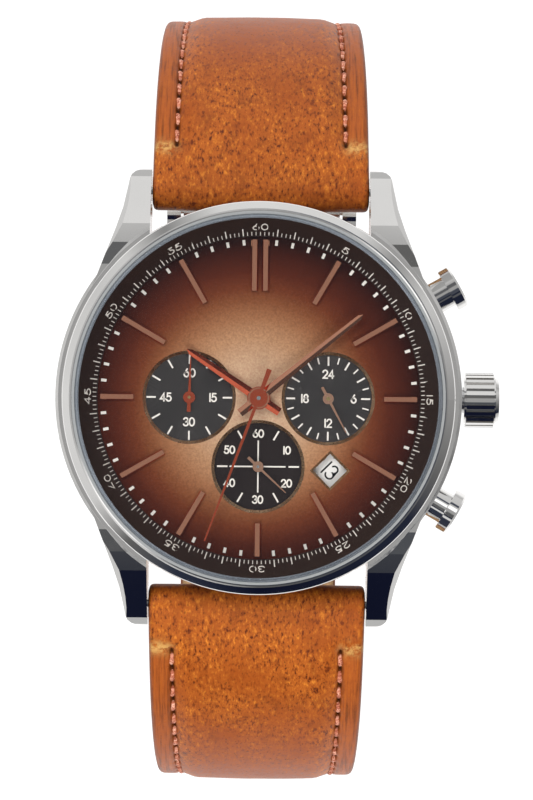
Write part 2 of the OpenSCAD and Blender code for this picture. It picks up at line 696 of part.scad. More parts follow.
case_middle();
bezel();
crystal();
crystal_gasket();
rehaut();
case_back();
case_back_gasket();
movement_holder();
dial();
hour_markers();
minute_counter_plate();
day_night_plate();
small_seconds_plate();
main_plate();
train_bridge();
circuit_board();
motor_coils();
motor_stators();
battery();
battery_clamp();
bridge_screws();
crown_tube();
pusher_tubes();
lug_spring_bars();
minute_hand();
cannon_pinion();
centre_wheel();
hour_hand();
hour_wheel();
minute_wheel();
third_wheel();
small_seconds_hand();
seconds_pinion();
day_night_hand();
day_night_wheel();
day_night_idler();
date_disc();
chrono_seconds_hand();
chrono_arbor();
counter_intermediate();
chrono_minutes_hand();
counter_wheel();
setting_lever();
crown();
winding_stem();
start_pusher();
start_pusher_spring();
reset_pusher();
reset_pusher_spring();
strap_12_leather();
strap_12_lining();
fixed_keeper();
buckle_spring_bar();
free_keeper();
buckle_frame();
buckle_tongue();
strap_6_leather();
strap_6_lining();
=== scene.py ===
"""Looks of the chronograph wristwatch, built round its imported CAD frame.

Lengths in the tables and formulas are in millimetres and become metres when a mesh is made.
The dial faces +Z, 12 o'clock is +Y and the crown is +X.
"""
import math

import bpy
import numpy as np
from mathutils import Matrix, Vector, noise


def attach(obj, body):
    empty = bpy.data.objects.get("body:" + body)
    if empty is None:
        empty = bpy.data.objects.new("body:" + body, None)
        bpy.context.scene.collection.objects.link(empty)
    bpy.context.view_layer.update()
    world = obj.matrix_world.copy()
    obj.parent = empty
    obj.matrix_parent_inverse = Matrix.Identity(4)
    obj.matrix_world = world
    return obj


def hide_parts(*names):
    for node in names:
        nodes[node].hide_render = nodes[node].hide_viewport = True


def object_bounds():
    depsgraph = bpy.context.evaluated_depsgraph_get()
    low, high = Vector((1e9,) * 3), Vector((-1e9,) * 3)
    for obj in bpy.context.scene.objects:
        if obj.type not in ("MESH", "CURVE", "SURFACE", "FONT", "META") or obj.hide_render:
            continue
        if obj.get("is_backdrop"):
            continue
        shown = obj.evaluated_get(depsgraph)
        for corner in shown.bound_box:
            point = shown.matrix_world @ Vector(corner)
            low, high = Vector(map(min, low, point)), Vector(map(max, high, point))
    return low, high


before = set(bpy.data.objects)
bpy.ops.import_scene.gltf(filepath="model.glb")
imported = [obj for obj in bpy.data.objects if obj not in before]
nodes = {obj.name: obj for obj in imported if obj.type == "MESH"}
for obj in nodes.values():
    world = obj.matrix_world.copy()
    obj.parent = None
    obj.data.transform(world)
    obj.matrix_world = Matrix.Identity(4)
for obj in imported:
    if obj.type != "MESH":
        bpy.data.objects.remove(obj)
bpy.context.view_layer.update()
scene = bpy.context.scene
MM = 0.001

# centres of the side sub-dials, left and right, and of the low one
SIDE_X, LOW_Y = 6.94, -6.85


# ---------------------------------------------------------------- camera

# a long lens straight above the dial, a little off its centre and turned by a fraction of a degree
LENS, SENSOR = 147.2, 36
CAMERA_PLACE = Vector((0.78, -0.19, 333.2))
CAMERA_ROLL = 0.6

camera_data = bpy.data.cameras.new("camera")
camera_data.sensor_width = SENSOR
camera_data.lens = LENS
camera = bpy.data.objects.new("camera", camera_data)
camera.location = CAMERA_PLACE * MM
camera.rotation_euler = (0, 0, math.radians(CAMERA_ROLL))
camera_data.clip_start = 0.01
camera_data.clip_end = 10
scene.collection.objects.link(camera)
scene.camera = camera
scene.view_settings.view_transform = "Standard"


# ---------------------------------------------------------------- materials

def linear(r, g, b):
    """A colour given in 0 to 255 display values, as the linear values that shaders take."""
    return tuple(c / 12.92 if c <= 0.04045 else ((c + 0.055) / 1.055) ** 2.4
                 for c in (r / 255, g / 255, b / 255)) + (1.0,)


def add_node(tree, kind, inputs=(), **properties):
    """A shader node with its properties, and its inputs by name or number: a value or a link."""
    made = tree.nodes.new("ShaderNode" + kind)
    for name, value in properties.items():
        setattr(made, name, value)
    for name, value in dict(inputs).items():
        if isinstance(value, bpy.types.NodeSocket):
            tree.links.new(value, made.inputs[name])
        else:
            made.inputs[name].default_value = value
    return made


def set_stops(made, stops):
    """The stops of a colour ramp node, as positions and colours; a plain number is a grey."""
    elements = made.color_ramp.elements
    while len(elements) < len(stops):
        elements.new(0.5)
    for element, (position, colour) in zip(elements, stops):
        element.position = position
        element.color = colour if isinstance(colour, tuple) else (colour, colour, colour, 1)


class Look:
    """One procedural material: a Principled shader and the nodes that feed it."""

    def __init__(self, name, colour, metallic=0.0, roughness=0.5, **sockets):
        self.material = bpy.data.materials.new(name)
        self.material.use_nodes = True
        self.tree = self.material.node_tree
        self.shader = self.tree.nodes["Principled BSDF"]
        self.put("Base Color", colour)
        self.put("Metallic", metallic)
        self.put("Roughness", roughness)
        for socket, value in sockets.items():
            self.put(socket.replace("_", " "), value)

    def put(self, socket, value):
        target = self.shader.inputs[socket]
        if isinstance(value, bpy.types.NodeSocket):
            self.tree.links.new(value, target)
        else:
            target.default_value = value

    def node(self, kind, inputs=(), **properties):
        return add_node(self.tree, kind, inputs, **properties)

    def place(self):
        return self.node("TexCoord").outputs["Object"]

    def attribute(self, name, output="Vector"):
        return self.node("Attribute", attribute_name=name).outputs[output]

    def stretched(self, vector, scale):
        return self.node("Mapping", {"Vector": vector, "Scale": scale}).outputs[0]

    def noise(self, vector, scale, detail=3.0, rough=0.5):
        return self.node("TexNoise", {"Vector": vector, "Scale": scale, "Detail": detail,
                                      "Roughness": rough}).outputs[0]

    def cells(self, vector, scale):
        return self.node("TexVoronoi", {"Vector": vector, "Scale": scale}).outputs["Distance"]

    def ramp(self, factor, stops):
        made = self.node("ValToRGB", {"Fac": factor})
        set_stops(made, stops)
        return made.outputs[0]

    def mix(self, factor, a, b, blend="MIX"):
        return self.node("Mix", {0: factor, 6: a, 7: b}, data_type="RGBA", blend_type=blend).outputs[2]

    def sum(self, operation, a, b=0.0):
        return self.node("Math", {0: a, 1: b}, operation=operation).outputs[0]

    def fit(self, value, low, high, to_low=0.0, to_high=1.0):
        return self.node("MapRange", {"Value": value, "From Min": low, "From Max": high,
                                      "To Min": to_low, "To Max": to_high}).outputs[0]

    def bump(self, height, strength=0.3, distance=0.02):
        made = self.node("Bump", {"Height": height, "Strength": strength, "Distance": distance * MM})
        self.put("Normal", made.outputs[0])


def metal(name, colour, roughness, grain=0.04, stretch=(1, 1, 1), depth=0.0, scale=900):
    """A metal with a faint uneven polish; a stretched grain gives it brushing."""
    look = Look(name, colour, 1.0, roughness)
    place = look.stretched(look.place(), stretch)
    fine = look.noise(place, scale, 4)
    look.put("Roughness", look.fit(fine, 0.3, 0.7, max(0.02, roughness - grain), roughness + grain))
    dark = tuple(c * 0.9 for c in colour[:3]) + (1,)
    look.put("Base Color", look.mix(look.noise(look.place(), 160, 3), dark, colour))
    if depth:
        look.bump(look.noise(place, scale * 2, 3), 0.35, depth)
    return look


def moulded(name, colour, roughness=0.45, speckle=0.85, scale=2600, depth=0.01):
    """Plastic, rubber or enamel with a fine moulded surface."""
    look = Look(name, colour, 0.0, roughness)
    dark = tuple(c * speckle for c in colour[:3]) + (1,)
    look.put("Base Color", look.mix(look.noise(look.place(), 420, 4), dark, colour))
    grain = look.noise(look.place(), scale, 3)
    look.put("Roughness", look.fit(grain, 0.3, 0.7, roughness - 0.06, roughness + 0.06))
    look.bump(look.noise(look.place(), scale, 4), 0.3, depth)
    return look


polished_steel = metal("polished_steel", (0.80, 0.79, 0.775, 1), 0.07, 0.03)
brushed_steel = metal("brushed_steel", (0.62, 0.62, 0.61, 1), 0.30, 0.08, (1, 14, 1), 0.004, 1500)
fine_steel = metal("fine_steel", (0.66, 0.66, 0.66, 1), 0.22, 0.06)
copper = metal("copper_polished", (0.86, 0.40, 0.25, 1), 0.13, 0.04)
red_copper = metal("red_copper", (0.82, 0.17, 0.085, 1), 0.16, 0.04)
rose = metal("rose_gilt", (0.88, 0.52, 0.36, 1), 0.16, 0.04)
gilt = metal("gilt", (0.83, 0.62, 0.40, 1), 0.26, 0.05)
brass = metal("brass", (0.80, 0.60, 0.28, 1), 0.27, 0.07, scale=1400)
nickel = metal("nickel_grained", (0.66, 0.63, 0.57, 1), 0.33, 0.08, (1, 18, 1), 0.003, 1200)
winding = metal("coil_wire", (0.74, 0.30, 0.14, 1), 0.30, 0.08)
white_plastic = moulded("white_plastic", linear(226, 224, 216), 0.5, 0.93)
gasket_rubber = moulded("gasket_rubber", linear(150, 152, 152), 0.42, 0.9)
circuit = moulded("circuit_board", linear(38, 84, 52), 0.38, 0.6)
ink_white = moulded("ink_white", linear(236, 230, 220), 0.55, 0.95)
ink_black = moulded("ink_black", linear(20, 20, 22), 0.5, 0.8)
date_enamel = moulded("date_enamel", linear(238, 236, 231), 0.4, 0.97)


def radius_from(look, x=0.0, y=0.0):
    """Distance in metres from a vertical axis through (x, y) millimetres."""
    moved = look.node("VectorMath", {0: look.place(), 1: (-x * MM, -y * MM, 0)}, operation="ADD").outputs[0]
    flat = look.node("VectorMath", {0: moved, 1: (1, 1, 0)}, operation="MULTIPLY").outputs[0]
    return look.node("VectorMath", {0: flat}, operation="LENGTH").outputs["Value"]


def dial_look():
    """Smoked brown: a tan centre through brown to a nearly black edge, over a fine grain."""
    look = Look("dial_brown", (0.2, 0.1, 0.05, 1), 0.30, 0.42, Specular_IOR_Level=0.2)
    # the gradient is centred 0.5 mm left of and 1 mm below the dial's centre, so the dial is darker at the
    # top than at the bottom
    share = look.fit(radius_from(look, -0.5, -1.0), 0, 16.65 * MM)
    base = look.ramp(share, [
        (0.0, linear(220, 184, 152)), (0.28, linear(208, 168, 134)), (0.42, linear(192, 144, 106)),
        (0.54, linear(168, 114, 78)), (0.64, linear(138, 82, 50)), (0.72, linear(116, 58, 32)),
        (0.82, linear(90, 38, 20)), (0.93, linear(68, 26, 13)), (1.0, linear(46, 18, 10))])
    grain = look.noise(look.place(), 5200, 3, 0.7)
    base = look.mix(0.55, base, look.ramp(grain, [(0.32, 0.30), (0.68, 0.70)]), "OVERLAY")
    look.put("Base Color", base)
    look.put("Roughness", look.fit(grain, 0.3, 0.7, 0.36, 0.50))
    look.put("Anisotropic", 0.5)
    look.put("Tangent", look.node("Tangent", direction_type="RADIAL", axis="Z").outputs[0])
    look.bump(grain, 0.35, 0.008)
    return look


def counter_look(name, x, y, ringed):
    """Sub-dial plate: concentric engine-turned rings, bumped and with painted light and shade across each
    ring, or a plain matt plate.
    """
    look = Look(name, linear(44, 33, 30), 1.0 if ringed else 0.1, 0.32 if ringed else 0.55)
    away = radius_from(look, x, y)
    grain = look.noise(look.place(), 4200, 3)
    if ringed:
        wave = look.sum("SINE", look.sum("MULTIPLY", away, 2 * math.pi / (0.11 * MM)))
        lit = look.fit(wave, -1, 1)
        # painted light and shade: each ring's colour runs from dark to bright with the same wave as its bump
        look.put("Base Color", look.mix(lit, (0.07, 0.06, 0.056, 1), (0.24, 0.225, 0.215, 1)))
        look.put("Anisotropic", 0.95)
        look.put("Tangent", look.node("Tangent", direction_type="RADIAL", axis="Z").outputs[0])
        look.bump(look.sum("ADD", lit, look.sum("MULTIPLY", grain, 0.3)), 0.45, 0.012)
    else:
        look.put("Base Color", look.mix(grain, linear(24, 18, 17), linear(44, 34, 31)))
        look.bump(grain, 0.4, 0.01)
    return look


def rehaut_look():
    look = Look("rehaut_dark", linear(40, 28, 23), 0.15, 0.34)
    grain = look.noise(look.place(), 3600, 3)
    look.put("Base Color", look.mix(grain, linear(30, 20, 16), linear(56, 40, 33)))
    look.put("Roughness", look.fit(grain, 0.3, 0.7, 0.28, 0.42))
    look.bump(grain, 0.25, 0.006)
    return look


def sapphire_look():
    """Clear coated crystal: nearly all see-through, with a faint mirror on top."""
    look = Look("sapphire", (0.03, 0.04, 0.055, 1), 0.0, 0.02)
    look.put("Roughness", look.fit(look.noise(look.place(), 200, 2), 0.3, 0.7, 0.01, 0.03))
    look.shader.inputs["Alpha"].default_value = 0.05
    look.shader.inputs["IOR"].default_value = 1.45
    return look


def chamfer_look():
    # the crystal's edge: partly a real metal-like reflection, and partly a painted reflection in its bluish
    # grey colour on a half-opaque surface, mottled by a noise
    look = Look("sapphire_edge", (0.36, 0.40, 0.45, 1), 0.65, 0.18)
    reflection_mottle = look.noise(look.place(), 260, 2)
    look.put("Base Color", look.mix(reflection_mottle, (0.26, 0.30, 0.35, 1), (0.46, 0.50, 0.55, 1)))
    look.shader.inputs["Alpha"].default_value = 0.55
    return look


def leather_look(name, centre, deep, pale, band, pores=1.0, gloss=0.42):
    """Aniline leather, from two attributes of its mesh.

    'along' is the place across, along and under the surface, in metres. 'tone' is how much of a hollow's
    painted shade together with a darker edge, a crease, a stitched band and a patch of painted shade is
    there.
    """
    look = Look(name, centre, 0.0, gloss, Specular_IOR_Level=0.28)
    along = look.attribute("along")
    tone = look.node("SeparateColor", {"Color": look.attribute("tone", "Color")}).outputs
    shade = look.node("Attribute", attribute_name="tone").outputs["Alpha"]
    streaked = look.stretched(along, (1, 0.5, 1))
    fleck = look.noise(streaked, 2500, 3, 0.65)
    cloud = look.noise(along, 170, 4, 0.55)
    patch = look.noise(look.stretched(along, (1, 0.6, 1)), 620, 3, 0.6)
    fine = look.noise(look.stretched(along, (1, 0.4, 1)), 5600, 2, 0.6)
    fleck = look.sum("ADD", look.sum("MULTIPLY", fleck, 0.62), look.sum("MULTIPLY", fine, 0.38))
    base = look.ramp(fleck, [(0.38, deep), (0.48, centre), (0.54, centre), (0.64, pale)])
    mottle_and_shade = tuple(c * k for c, k in zip(centre[:3], (0.74, 0.62, 0.55))) + (1,)
    base = look.mix(look.sum("MULTIPLY", look.fit(cloud, 0.42, 0.68), 0.7), base, mottle_and_shade)
    base = look.mix(look.sum("MULTIPLY", look.fit(patch, 0.5, 0.75), 0.45), base, deep)
    # painted shade: a patch darkened towards the deeper, warmer tone, from the last part of tone
    base = look.mix(look.sum("MULTIPLY", shade, 0.55), base, mottle_and_shade)
    dots = look.cells(look.stretched(along, (1, 0.6, 1)), 2900)
    where = look.fit(look.noise(along, 900, 2), 0.36, 0.60)
    pore = look.sum("MULTIPLY", look.fit(dots, 0.12, 0.34, 1, 0), where)
    pore_dark = tuple(c * 0.30 for c in deep[:3]) + (1,)
    base = look.mix(look.sum("MULTIPLY", pore, 0.55 * pores), base, pore_dark)
    lines = look.noise(look.stretched(along, (1, 0.045, 1)), 4300, 4, 0.6)
    band_dark = tuple(c * 0.45 for c in band[:3]) + (1,)
    banded = look.ramp(lines, [(0.34, band_dark), (0.52, band), (0.68, centre)])
    base = look.mix(look.sum("MULTIPLY", tone[2], 0.85), base, banded)
    pale_crease = tuple(min(1, c * k) for c, k in zip(pale[:3], (0.95, 1.6, 4.2))) + (1,)
    crease = look.sum("MULTIPLY", tone[1], look.fit(look.noise(along, 1300, 4, 0.7), 0.40, 0.60))
    base = look.mix(crease, base, pale_crease)
    # painted shade in the hollows, together with a darker edge: the first part of tone darkens towards a near
    # black brown
    base = look.mix(tone[0], base, linear(34, 12, 6))
    look.put("Base Color", base)
    look.put("Roughness", look.fit(fleck, 0.3, 0.7, gloss - 0.08, gloss + 0.12))
    relief = look.sum("SUBTRACT", look.sum("MULTIPLY", fleck, 0.6), look.sum("MULTIPLY", pore, 0.6))
    look.bump(look.sum("ADD", relief, look.sum("MULTIPLY", lines, 0.25)), 0.5, 0.05)
    return look


def thread_look():
    look = Look("waxed_thread", linear(196, 122, 92), 0.0, 0.5)
    place = look.attribute("along")
    ply = look.noise(look.stretched(place, (1, 0.35, 1)), 5200, 3)
    look.put("Base Color", look.ramp(ply, [(0.34, linear(140, 62, 40)), (0.52, linear(206, 126, 96)),
                                           (0.68, linear(244, 190, 164))]))
    look.bump(ply, 0.5, 0.03)
    return look


dial_brown = dial_look()
rehaut_dark = rehaut_look()
sapphire = sapphire_look()
cognac = leather_look("cognac_leather", linear(174, 90, 28), linear(88, 32, 10), linear(216, 130, 44),
                      linear(166, 84, 34))
loop_leather = leather_look("loop_leather", linear(186, 98, 42), linear(128, 58, 22), linear(214, 128, 58),
                            linear(150, 78, 38), 0.7)
lining = leather_look("lining_leather", linear(204, 168, 124), linear(172, 132, 90), linear(224, 192, 152),
                      linear(190, 150, 108), 0.45, 0.6)
thread = thread_look()

# the look of each CAD node; the toothed wheels are brass, and the rest are fine steel
CAD_LOOKS = {
    "case_middle": polished_steel, "bezel": polished_steel, "crown": polished_steel,
    "start_pusher": polished_steel, "reset_pusher": polished_steel, "buckle_frame": polished_steel,
    "buckle_tongue": polished_steel, "case_back": brushed_steel, "crystal": sapphire,
    "crystal_gasket": gasket_rubber, "case_back_gasket": ink_black, "rehaut": rehaut_dark, "dial": dial_brown,
    "hour_markers": copper, "minute_counter_plate": counter_look("left_counter", -SIDE_X, 0, True),
    "day_night_plate": counter_look("right_counter", SIDE_X, 0, True),
    "small_seconds_plate": counter_look("low_counter", 0, LOW_Y, False),
    "movement_holder": white_plastic, "circuit_board": circuit, "motor_coils": winding,
    "main_plate": nickel, "train_bridge": nickel, "motor_stators": nickel, "battery": fine_steel,
    "hour_hand": red_copper, "minute_hand": copper, "chrono_seconds_hand": red_copper,
    "small_seconds_hand": rose, "day_night_hand": rose, "chrono_minutes_hand": red_copper,
    "date_disc": date_enamel, "day_night_idler": white_plastic,
}
BRASS_NODES = ("cannon_pinion", "centre_wheel", "minute_wheel", "hour_wheel", "third_wheel",
               "day_night_wheel", "counter_intermediate", "counter_wheel")
for name, node in nodes.items():
    look = CAD_LOOKS.get(name) or (brass if name in BRASS_NODES else fine_steel)
    node.data.materials.clear()
    node.data.materials.append(look.material)


def gild_rims():
    """The polished bevels round the sub-dials and the date window are a second material on the dial."""
    mesh = nodes["dial"].data
    mesh.materials.append(gilt.material)
    for face in mesh.polygons:
        tilted = 0.2 < face.normal.z < 0.95
        if tilted:
            face.material_index = 1


def bevel_markers():
    """A narrow bevel that catches the light along each applied bar."""
    edge = nodes["hour_markers"].modifiers.new("edge", "BEVEL")
    edge.width = 0.11 * MM
    edge.segments = 1


gild_rims()
bevel_markers()


# ---------------------------------------------------------------- mesh helpers

def mesh_piece(name, points, faces, look, body, smooth=True):
    """A mesh piece from points in millimetres, riding on a CAD body."""
    mesh = bpy.data.meshes.new(name)
    mesh.from_pydata([tuple(c * MM for c in p) for p in points], [], faces)
    mesh.validate()
    mesh.update()
    if smooth:
        mesh.shade_smooth()
    mesh.materials.append(look.material)
    piece = bpy.data.objects.new(name, mesh)
    scene.collection.objects.link(piece)
    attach(piece, body)
    return piece


def paint(piece, name, kind, values):
    """A point attribute: kind is FLOAT_VECTOR or FLOAT_COLOR."""
    layer = piece.data.attributes.new(name, kind, "POINT")
    field = "vector" if kind == "FLOAT_VECTOR" else "color"
    layer.data.foreach_set(field, np.asarray(values, np.float32).ravel())


def tube(base, rings, n, flip):
    """Faces of a tube with both ends closed, of rings with n points each from point base on."""
    ends = [base, base + (rings - 1) * n]
    faces = [[base + j * n + i, base + j * n + (i + 1) % n, base + (j + 1) * n + (i + 1) % n,
              base + (j + 1) * n + i] for j in range(rings - 1) for i in range(n)]
    faces += [[ends[0] + i for i in reversed(range(n))], [ends[1] + i for i in range(n)]]
    return [face[::-1] for face in faces] if flip else faces


def hoop(rings, n):
    """Faces of a hoop that closes on itself, of rings with n points each."""
    return [[j * n + i, (j + 1) % rings * n + i, (j + 1) % rings * n + (i + 1) % n, j * n + (i + 1) % n]
            for j in range(rings) for i in range(n)]


def smoothstep(low, high, value):
    t = min(1.0, max(0.0, (value - low) / (high - low)))
    return t * t * (3 - 2 * t)


# ---------------------------------------------------------------- printing

INK = 0.012
INK_FOOT = 0.001


class Print:
    """Thin raised ink: ribbons with round ends along strokes, laid on a surface."""

    def __init__(self, height):
        self.height = height
        self.points = []
        self.faces = []

    def outline(self, ring):
        """A closed flat patch with sides, from an anticlockwise outline."""
        start, n = len(self.points), len(ring)
        for lift in (INK_FOOT, INK):
            self.points += [(x, y, self.height(x, y) + lift) for x, y in ring]
        self.faces.append([start + n + i for i in range(n)])
        self.faces.append([start + i for i in reversed(range(n))])
        for i in range(n):
            j = (i + 1) % n
            self.faces.append([start + i, start + j, start + n + j, start + n + i])

    def stroke(self, line, width, round_ends=True, closed=False):
        line = [Vector(p) for p in line]
        half = width / 2
        count = len(line)
        sides = ([], [])
        for i, p in enumerate(line):
            before = line[i - 1] if i or closed else line[0]
            after = line[(i + 1) % count] if i < count - 1 or closed else line[-1]
            run_in = (p - before).normalized() if (p - before).length > 1e-9 else (after - p).normalized()
            run_out = (after - p).normalized() if (after - p).length > 1e-9 else run_in
            way = (run_in + run_out).normalized()
            reach = half / max(0.5, way.dot(run_out))
            normal = Vector((-way.y, way.x)) * reach
            sides[0].append(p + normal)
            sides[1].append(p - normal)
        if closed:
            start = len(self.points)
            for lift in (INK_FOOT, INK):
                for side in sides:
                    self.points += [(q.x, q.y, self.height(q.x, q.y) + lift) for q in side]
            left, right = start + 2 * count, start + 3 * count
            low_left, low_right = start, start + count
            for i in range(count):
                j = (i + 1) % count
                self.faces.append([right + i, right + j, left + j, left + i])
                self.faces.append([low_left + i, low_left + j, low_right + j, low_right + i])
                self.faces.append([left + i, left + j, low_left + j, low_left + i])
                self.faces.append([low_right + i, low_right + j, right + j, right + i])
            return
        ring = list(sides[1])
        caps = 5 if round_ends else 0
        for end, way in ((line[-1], line[-1] - line[-2]), (line[0], line[0] - line[1])):
            angle = math.atan2(way.y, way.x)
            for k in range(1, caps + 1):
                a = angle - math.pi / 2 + math.pi * k / (caps + 1)
                ring.append(end + Vector((math.cos(a), math.sin(a))) * half)
            ring += list(reversed(sides[0])) if end is line[-1] else []
        self.outline([(q.x, q.y) for q in ring])

    def piece(self, name, look, body, slot):
        return mesh_piece(name, self.points, self.faces, look, body, smooth=False)


def arc(cx, cy, rx, ry, start, end, steps=12):
    """Points of an elliptic arc; angles in degrees, anticlockwise from +X."""
    return [(cx + rx * math.cos(math.radians(start + (end - start) * i / steps)),
             cy + ry * math.sin(math.radians(start + (end - start) * i / steps))) for i in range(steps + 1)]


# each figure in a cell 0.62 wide and 1 high, as centre lines: (closed, points)
FIGURES = {
    "0": (0.62, [(True, arc(0.31, 0.5, 0.31, 0.5, 90, 430, 20))]),
    "1": (0.16, [(False, [(0.10, 0), (0.10, 1)])]),
    "2": (0.58, [(False, arc(0.29, 0.71, 0.28, 0.29, 170, -38, 12) + [(0.03, 0.0), (0.57, 0.0)])]),
    "3": (0.56, [(False, arc(0.26, 0.75, 0.25, 0.25, 160, -78, 11)
                  + arc(0.26, 0.26, 0.29, 0.26, 78, -165, 12))]),
    "4": (0.64, [(False, [(0.46, 0), (0.46, 1), (0.02, 0.27), (0.62, 0.27)])]),
    "5": (0.58, [(False, [(0.51, 1), (0.12, 1), (0.07, 0.56)] + arc(0.26, 0.32, 0.30, 0.32, 115, -158, 13))]),
    "6": (0.60, [(True, arc(0.30, 0.31, 0.29, 0.31, 0, 340, 18)), (False, [(0.06, 0.42), (0.40, 1)])]),
    "7": (0.54, [(False, [(0.02, 1), (0.53, 1), (0.17, 0)])]),
    "8": (0.58, [(True, arc(0.29, 0.27, 0.28, 0.27, 0, 340, 18)),
                 (True, arc(0.29, 0.77, 0.23, 0.23, 0, 340, 18))]),
    "9": (0.60, [(True, arc(0.30, 0.69, 0.29, 0.31, 0, 340, 18)), (False, [(0.54, 0.58), (0.20, 0)])]),
}


def number(ink, text, x, y, turn, height, stroke, gap=0.17, wide=1.0):
    """A number centred on (x, y), with its reading direction at turn degrees and its figures wide times
    as wide as usual."""
    widths = [FIGURES[c][0] for c in text]
    total = sum(widths) + gap * (len(text) - 1)
    c, s = math.cos(math.radians(turn)), math.sin(math.radians(turn))
    pen = -total / 2
    tall = height - stroke
    for figure, width in zip(text, widths):
        for closed, line in FIGURES[figure][1]:
            placed = []
            for u, v in line:
                a, b = (pen + u) * tall * wide, (v - 0.5) * tall
                placed.append((x + a * c - b * s, y + a * s + b * c))
            ink.stroke(placed, stroke, True, closed)
        pen += width + gap


def compass(r, angle, x=0.0, y=0.0):
    """The point at r from (x, y), angle degrees clockwise from 12 o'clock."""
    a = math.radians(angle)
    return (x + r * math.sin(a), y + r * math.cos(a))


def tick(ink, angle, low, high, width, x=0.0, y=0.0):
    """A bar from radius low to radius high at a compass angle about (x, y)."""
    ink.stroke([compass(low, angle, x, y), compass(high, angle, x, y)], width, False)


# heights of the dial and of the sub-dial plates
DIAL_TOP, PLATE_TOP = 6.8, 6.3
NUMERAL, STROKE, TICK = 0.93, 0.15, 0.17


def counters():
    """Ticks and numbers of the three sub-dials."""
    left = Print(lambda x, y: PLATE_TOP)
    for k in range(12):
        tick(left, 30 * k, 3.35, 4.28, TICK, -SIDE_X)
    for text, angle, r in (("60", 0, 2.45), ("15", 90, 2.35), ("30", 180, 2.45), ("45", 270, 2.35)):
        number(left, text, *compass(r, angle, -SIDE_X), 0, NUMERAL, STROKE)
    left.piece("minute_counter_print", ink_white, "case", "subdial_dark")

    right = Print(lambda x, y: PLATE_TOP)
    for k in range(24):
        tick(right, 15 * k, 3.55 if k % 2 else 3.3, 4.2, TICK * (0.8 if k % 2 else 1), SIDE_X)
    for text, angle, r in (("24", 0, 2.45), ("6", 90, 2.55), ("12", 180, 2.45), ("18", 270, 2.35)):
        number(right, text, *compass(r, angle, SIDE_X), 0, NUMERAL, STROKE)
    right.piece("day_night_print", ink_white, "case", "subdial_dark")

    low = Print(lambda x, y: PLATE_TOP)
    for text, angle in (("60", 0), ("10", 60), ("20", 120), ("30", 180), ("40", 240), ("50", 300)):
        number(low, text, *compass(3.3, angle, 0, LOW_Y), 0, NUMERAL * 0.94, STROKE)
    for angle in (25 * 6, 35 * 6, 5 * 6, 55 * 6, 90, 270):
        tick(low, angle, 3.05, 4.1, TICK, 0, LOW_Y)
    low.stroke([(0, LOW_Y - 2.6), (0, LOW_Y + 2.6)], 0.14, False)
    low.stroke([(-2.85, LOW_Y), (2.75, LOW_Y)], 0.14, False)
    low.piece("small_seconds_print", ink_white, "case", "subdial_dark")


def minute_dots():
    """A white block at each minute on the dial, except where an hour marker stands."""
    dots = Print(lambda x, y: DIAL_TOP)
    for minute in range(60):
        if minute % 5:
            tick(dots, 6 * minute, 15.29, 15.83, 0.28)
    dots.piece("dial_minute_dots", ink_white, "case", "dial_brown")


# the sloping flange, as radius and height at its inner and its outer edge
REHAUT_IN, REHAUT_OUT = (16.1, 6.95), (17.85, 9.2)
TRACK_IN, TRACK_LONG, TRACK_SHORT, NUMBER_R = 16.2, 16.86, 16.54, 17.0


def rehaut_height(x, y):
    """Height of the flange's slope at a point."""
    share = (math.hypot(x, y) - REHAUT_IN[0]) / (REHAUT_OUT[0] - REHAUT_IN[0])
    return REHAUT_IN[1] + share * (REHAUT_OUT[1] - REHAUT_IN[1])


def rehaut_track():
    """Quarter seconds as short ticks, seconds as long ones, and a number for every fifth."""
    track = Print(rehaut_height)
    for k in range(240):
        if k % 4 == 0 and k % 20:
            tick(track, 1.5 * k, TRACK_IN, TRACK_LONG, 0.11)
        else:
            tick(track, 1.5 * k, TRACK_IN, TRACK_SHORT, 0.075)
    for k in range(12):
        number(track, str(5 * k or 60), *compass(NUMBER_R, 30 * k), -30 * k, 0.62, 0.095, 0.24, 1.95)
    track.piece("rehaut_track", ink_white, "case", "rehaut_dark")


def date_numbers():
    """31 numbers on the date ring; 13 is in the window at 4:30, read outwards from the centre."""
    ring_top, ring_r, window_at, shown, days = 5.8, 10.2, 135, 13, 31
    ring = Print(lambda x, y: ring_top)
    for day in range(1, days + 1):
        at = window_at - (day - shown) * 360 / days
        number(ring, str(day), *compass(ring_r, at), 90 - at, 1.62, 0.17, 0.2)
    ring.piece("date_numbers", ink_black, "date", "white_plastic")


counters()
minute_dots()
rehaut_track()
date_numbers()


# ---------------------------------------------------------------- crystal edge

def turned(name, profile, look, body, steps=160):
    """A ring turned about the Z axis from a closed profile of (radius, height)."""
    n = len(profile)
    points = [(r * math.cos(2 * math.pi * k / steps), r * math.sin(2 * math.pi * k / steps), z)
              for k in range(steps) for r, z in profile]
    return mesh_piece(name, points, hoop(steps, n), look, body)


turned("crystal_edge", [(18.19, 10.77), (17.76, 11.2), (17.74, 11.15), (18.17, 10.72)], chamfer_look(),
       "case")


# ---------------------------------------------------------------- strap

# the lug bar, and the radii of the leather rolled round it
BAR_Y, BAR_Z, ROLL_R, BAR_R = 20.8, 3.2, 2.1, 0.98
# width at the lugs and at the end, and the length over which it narrows
STRAP_W, END_W, TAPER = 21.7, 18.0, 62
# thickness at the lugs, past the padding and at the end, and the padding's length
THICK_LUG, THICK_MID, THICK_END, LUG_PAD = 4.2, 3.3, 2.7, 14
# the slope at the lug and down the side in degrees, then the radii of the three bends
LEAD, MID_TURN, WRIST_R, BEND_R, CURL_R = 18, 100, 28.5, 12, 20
ARC_1 = math.radians(MID_TURN - LEAD) * WRIST_R
ARC_2 = math.radians(180 - MID_TURN) * BEND_R
LINING_T = 1.0
# the first stitch's place, the stitches' pitch, and the seam's distance from the edge
FIRST_STITCH, PITCH, SEAM = 4.9, 2.2, 2.3
BUCKLE_PLAIN, TIP_PLAIN = 7.0, 4.0
ROW = PITCH / 6
BAND_DROP = 0.45


